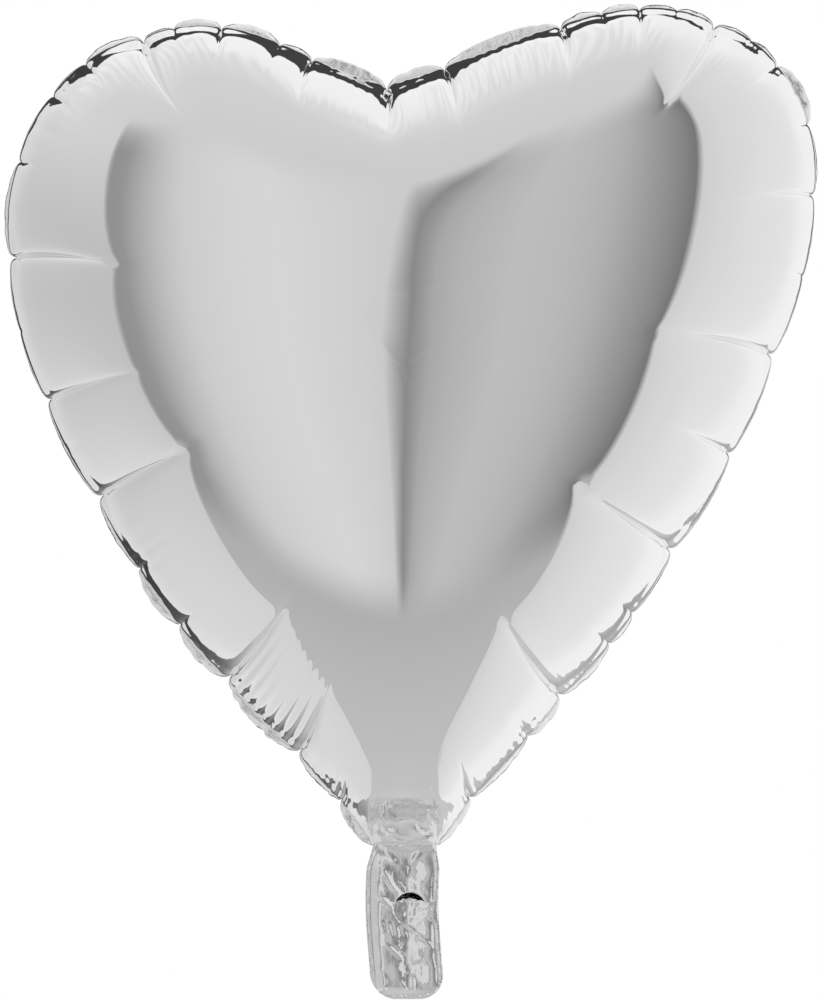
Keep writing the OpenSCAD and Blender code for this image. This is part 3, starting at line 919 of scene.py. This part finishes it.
def margin_points(length, out):
    """A point of the margin: from the drawn-in seam it goes out by a share of its width. Between
    two pinches it stands out in a scallop, the sine of the way between them to a power, as far as
    its row says, and what is wider is folded back. A seeded ripple runs along its free edge."""
    seam = bare_film(length, 0 * length)
    normal = np.insert(on_rim(rim_normals, length), 1, 0, axis=1)
    drawn = dip(length, 0 * length, 0 * length, FRONT)
    marks = np.r_[0, [row[0] for row in PINCHES], 1.0] * SEAM_LENGTH
    shown = np.r_[FIRST_MARGIN, [row[3] for row in PINCHES]] * MM
    gap = np.clip(np.searchsorted(marks, length, "right") - 1, 0, len(shown) - 1)
    way = (length - marks[gap]) / (marks[gap + 1] - marks[gap])
    scallop = np.sin(np.pi * np.clip(way, 0.0, 1.0))**0.7
    out_far = shown[gap] * scallop * (1 + 0.14 * slow_noise(length, 8, (60, 95, 150)))
    width = MARGIN * (0.35 + 0.65 * scallop)
    share = np.clip(out_far / width, 0.04, 0.97)
    back = np.sqrt(1 - share**2)
    ripple = 0.22 * MM * slow_noise(length, 7, (140, 210, 260, 330))
    ripple += 0.5 * MM * slow_noise(length, 9, (23, 41, 66))
    reach = np.clip(out, 0, 1)
    point = seam - normal * drawn[:, None]
    point += normal * np.where(out < 0, 0.5 * MM * out, width * share * reach)[:, None]
    point[:, 1] += width * back * reach**1.3 + ripple * reach
    return point


def rows_of_quads(rows, columns):
    """The quads of a grid whose points are stored row by row."""
    a = (np.arange(rows - 1)[:, None] * columns + np.arange(columns - 1)).ravel()
    return np.c_[a, a + columns, a + columns + 1, a + 1]


def margin_mesh():
    """The margin as rows of quads from just inside the seam to its free edge."""
    fine = ring_lengths()[0][1]
    length = np.r_[fine[fine < SEAM_LENGTH], SEAM_LENGTH]
    outs = np.array([-1, 0, 0.25, 0.5, 0.75, 1.0])
    points = np.vstack([margin_points(length, np.full_like(length, out)) for out in outs])
    place = np.c_[np.tile(length, len(outs)), np.repeat(outs, len(length)) * MARGIN, np.ones(len(points))]
    return points, rows_of_quads(len(outs), len(length)), place


def make_seal_ribs():
    """The fine ribs that a heated sealing bar leaves: a sine across the seal, broken by noise."""
    tree, given, out = new_group("seal_ribs", [
        ("Place", "NodeSocketVector", None), ("Pitch", "NodeSocketFloat", 0.0011)],
        [("Height", "NodeSocketFloat")])
    parts = add_node(tree, "ShaderNodeSeparateXYZ", Vector=given.outputs["Place"])
    turn = times(tree, maths(tree, "DIVIDE", parts.outputs[1], given.outputs["Pitch"]), 2 * math.pi)
    wave = maths(tree, "SINE", turn)
    worn = add_node(tree, "ShaderNodeTexNoise", Vector=given.outputs["Place"], Scale=260.0, Detail=2.0)
    height = times(tree, wave, worn.outputs["Fac"])
    tree.links.new(height, out.inputs["Height"])
    return tree


seal_ribs = make_seal_ribs()


def make_sealed_foil():
    """Two films fused by heat: duller than the open film, ribbed, and finely crinkled."""
    material, tree, shader = new_material("sealed_foil")
    place = add_node(tree, "ShaderNodeAttribute")
    place.attribute_name = "seam_place"
    coords = tree.nodes.new("ShaderNodeTexCoord").outputs["Object"]
    ribs = place_group(tree, seal_ribs, Place=place.outputs["Vector"], Pitch=0.0011)
    crinkle = place_group(tree, fine_crinkle, Place=coords, Fineness=380.0)
    height = plus(tree, times(tree, ribs.outputs["Height"], 0.10),
                  times(tree, crinkle.outputs["Height"], 0.7))
    set_bump(tree, shader, height)
    set_roughness(tree, shader, times(tree, noise_of(tree, 120.0, Vector=coords), 0.10), 0.03)
    shader.inputs["Base Color"].default_value = (0.90, 0.90, 0.91, 1)
    shader.inputs["Metallic"].default_value = 1.0
    return material


sealed_foil = make_sealed_foil()
margin = add_mesh("sealed_margin", *margin_mesh())
margin.data.materials.append(sealed_foil)
thicken(margin, MARGIN_THICKNESS, inwards=False)
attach(margin, "heart")
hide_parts("edge_seal")


# ---------------------------------------------------------------------------------------------
# The tail's sealed edge: one narrow fused band down both sides and round the foot. It lies flat over
# the films' edges, and its ends meet the sealed margin of the heart at the neck.
# ---------------------------------------------------------------------------------------------
TAIL_SEAL_THICKNESS = 0.42 * MM
TAIL_LIP = 0.25 * MM


def tail_seal_mesh():
    """The band as rows of quads along the tail's outline, from its inner edge to just outside the
    films. Each row is the outline moved inwards along its own normal; the tail's sway and bend are
    added last."""
    turn = np.linspace(0, 1, 220)
    right = tail_edge(turn)
    edge = np.vstack([right, right[::-1][1:] * (-1, 1)])
    tangent = np.gradient(edge, axis=0)
    normal = np.c_[-tangent[:, 1], tangent[:, 0]] / np.linalg.norm(tangent, axis=1)[:, None]
    ins = np.array([-TAIL_SEAL, -0.66 * TAIL_SEAL, -0.33 * TAIL_SEAL, TAIL_LIP])
    flat = np.vstack([edge + normal * inset for inset in ins])
    walked = np.r_[0, np.cumsum(np.linalg.norm(np.diff(edge, axis=0), axis=1))]
    ripple = 0.06 * MM * np.sin(np.tile(walked, len(ins)) / (1.9 * MM))
    points = np.c_[sway(flat[:, 0], flat[:, 1]), -tail_bend(flat[:, 1]) + ripple, flat[:, 1]]
    place = np.c_[np.tile(walked, len(ins)), np.repeat(ins, len(edge)), np.ones(len(flat))]
    return points, rows_of_quads(len(ins), len(edge))[:, ::-1], place


tail_seal = add_mesh("tail_sealed_edge", *tail_seal_mesh())
tail_seal.data.materials.append(sealed_foil)
thicken(tail_seal, TAIL_SEAL_THICKNESS, inwards=False)
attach(tail_seal, "tail")
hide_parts("tail_edge_seal")


# ---------------------------------------------------------------------------------------------
# The valve: two plies of thin clear film welded down their long edges into a flat sleeve. Its mouth
# is fixed between the tail's films and its upper part hangs free in the heart, where the gas presses
# the plies together. A pale coat printed inside the mouth keeps the seal's heat from closing it.
# ---------------------------------------------------------------------------------------------
CLEAR_THICKNESS = 0.06 * MM
COAT_THICKNESS = 0.04 * MM
valve_low, valve_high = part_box("valve_front_ply")
mouth_low, mouth_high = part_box("valve_mouth_front_ply")
coat_low, coat_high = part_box("valve_release_coat")
VALVE_LEAN = math.atan2(valve_high[1], valve_high[2] - valve_low[2])
VALVE_FOOT = Vector((0, 0, valve_low[2]))
VALVE_HALF = valve_high[0]
VALVE_LENGTH = math.hypot(valve_high[1], valve_high[2] - valve_low[2])
RIPPLE = 0.02             # height of a ripple, as a share of its length
PLY_COLUMNS = 45
SLEEVE_ROWS = 161
MOUTH_ROWS = 61
MOUTH_OFF = 0.12 * MM     # how far each ply of the mouth lies off the tail's middle plane


def sleeve_ply(across, along, half, side, seed):
    """How far one ply of the sleeve stands off its middle plane: half a millimetre in the middle,
    nil at the welded edges, with slow seeded ripples."""
    random = np.random.default_rng(seed)
    ripple = 0 * across
    for wave in (31, 17, 9):
        slant = random.uniform(-0.5, 0.5)
        turns = (along + slant * across) / (wave * MM)
        ripple += RIPPLE * wave * MM * np.sin(turns * 2 * math.pi + random.uniform(0, 6))
    apart = 0.5 * MM * np.sqrt(np.clip(1 - (across / half)**2, 0, 1))
    return side * (apart + CLEAR_THICKNESS) + ripple


def valve_mesh(side):
    """One ply above the neck: a grid over its width and length, laid along the leaning middle plane.
    Both plies share the ripples, which are smallest at the foot."""
    across, along = np.meshgrid(np.linspace(-VALVE_HALF, VALVE_HALF, PLY_COLUMNS),
                                np.linspace(0, VALVE_LENGTH, SLEEVE_ROWS))
    off = sleeve_ply(across, along, VALVE_HALF, side, 3) * np.clip(0.3 + along / (20 * MM), 0, 1)
    y = along * math.sin(VALVE_LEAN) - off * math.cos(VALVE_LEAN)
    z = VALVE_FOOT[2] + along * math.cos(VALVE_LEAN) + off * math.sin(VALVE_LEAN)
    return np.c_[across.ravel(), y.ravel(), z.ravel()], rows_of_quads(SLEEVE_ROWS, PLY_COLUMNS)[:, ::-side]


def mouth_mesh(side, low, high, off):
    """One flat ply of the mouth, or its coat: a grid between two heights, off the tail's middle
    plane by a fixed amount and following its bend, with a fine ripple down it."""
    x, z = np.meshgrid(np.linspace(low[0], high[0], PLY_COLUMNS), np.linspace(low[2], high[2], MOUTH_ROWS))
    y = -tail_bend(np.minimum(z, 0)) - side * off + 0.02 * MM * np.sin(z / (1.3 * MM) + x / (4 * MM))
    return np.c_[x.ravel(), y.ravel(), z.ravel()], rows_of_quads(MOUTH_ROWS, PLY_COLUMNS)[:, ::-1]


def make_clear_film():
    """Clear valve film: thin glossy plastic with a fine crinkle."""
    material, tree, shader = new_material("clear_film")
    coords = tree.nodes.new("ShaderNodeTexCoord").outputs["Object"]
    crinkle = place_group(tree, fine_crinkle, Place=coords, Fineness=210.0)
    set_bump(tree, shader, crinkle.outputs["Height"], 0.5, 0.0002)
    set_roughness(tree, shader, times(tree, noise_of(tree, 160.0, Vector=coords), 0.12), 0.04)
    shader.inputs["Base Color"].default_value = (0.93, 0.95, 0.97, 1)
    shader.inputs["Transmission Weight"].default_value = 0.9
    shader.inputs["IOR"].default_value = 1.49
    return material


def make_release_coat():
    """The printed coat: matt, pale, and mottled where the ink lies thin."""
    material, tree, shader = new_material("release_coat")
    coords = tree.nodes.new("ShaderNodeTexCoord").outputs["Object"]
    mottle = noise_of(tree, 900.0, Vector=coords)
    set_tint(tree, shader, mottle, (0.62, 0.68, 0.74), (0.80, 0.84, 0.88))
    set_roughness(tree, shader, times(tree, mottle, 0.2), 0.5)
    return material


clear_film = make_clear_film()
for name, side in (("front", 1), ("back", -1)):
    ply = add_mesh("valve_sleeve_" + name, *valve_mesh(side))
    ply.data.materials.append(clear_film)
    thicken(ply, CLEAR_THICKNESS, inwards=False)
    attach(ply, "valve")
    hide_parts("valve_" + name + "_ply")
    mouth = add_mesh("valve_mouth_" + name, *mouth_mesh(side, mouth_low, mouth_high, MOUTH_OFF))
    mouth.data.materials.append(clear_film)
    thicken(mouth, CLEAR_THICKNESS, inwards=False)
    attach(mouth, "tail")
    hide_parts("valve_mouth_" + name + "_ply")
coat = add_mesh("release_coat", *mouth_mesh(1, coat_low, coat_high, 0.0))
coat.data.materials.append(make_release_coat())
thicken(coat, COAT_THICKNESS, inwards=False)
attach(coat, "tail")
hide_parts("valve_release_coat")


# ---------------------------------------------------------------------------------------------
# The floor: a plain pale disc well below the floating balloon, and one soft lamp over it. The foil
# sees neither, only the painted room.
# ---------------------------------------------------------------------------------------------
FLOOR_DROP = 0.45
FLOOR_RADIUS = 2.4
FLOOR_SIDES = 96

turn = np.linspace(0, 2 * math.pi, FLOOR_SIDES, endpoint=False)
disc = FLOOR_RADIUS * np.c_[np.cos(turn), np.sin(turn), 0 * turn] - (0, 0, FLOOR_DROP)
floor = add_mesh("floor", disc, np.arange(FLOOR_SIDES)[None, :])
floor_paint, floor_tree, floor_shader = new_material("pale_floor")
speckle = add_node(floor_tree, "ShaderNodeTexNoise", Scale=8.0, Detail=2.0)
set_tint(floor_tree, floor_shader, speckle.outputs["Fac"], (0.90, 0.90, 0.90), (0.94, 0.94, 0.94))
floor_shader.inputs["Roughness"].default_value = 0.9
floor_shader.inputs["Emission Color"].default_value = (1, 1, 1, 1)
floor_shader.inputs["Emission Strength"].default_value = 0.3
floor.data.materials.append(floor_paint)
floor.visible_glossy = False

lamp_data = bpy.data.lights.new("soft_lamp", "AREA")
lamp_data.energy = 18.0
lamp_data.size = 1.6
lamp = bpy.data.objects.new("soft_lamp", lamp_data)
bpy.context.scene.collection.objects.link(lamp)
lamp.location = (-1.2, -1.6, 1.9)
lamp.rotation_euler = (Vector((0, 0, 0.1)) - lamp.location).to_track_quat("-Z", "Y").to_euler()
lamp.visible_glossy = False
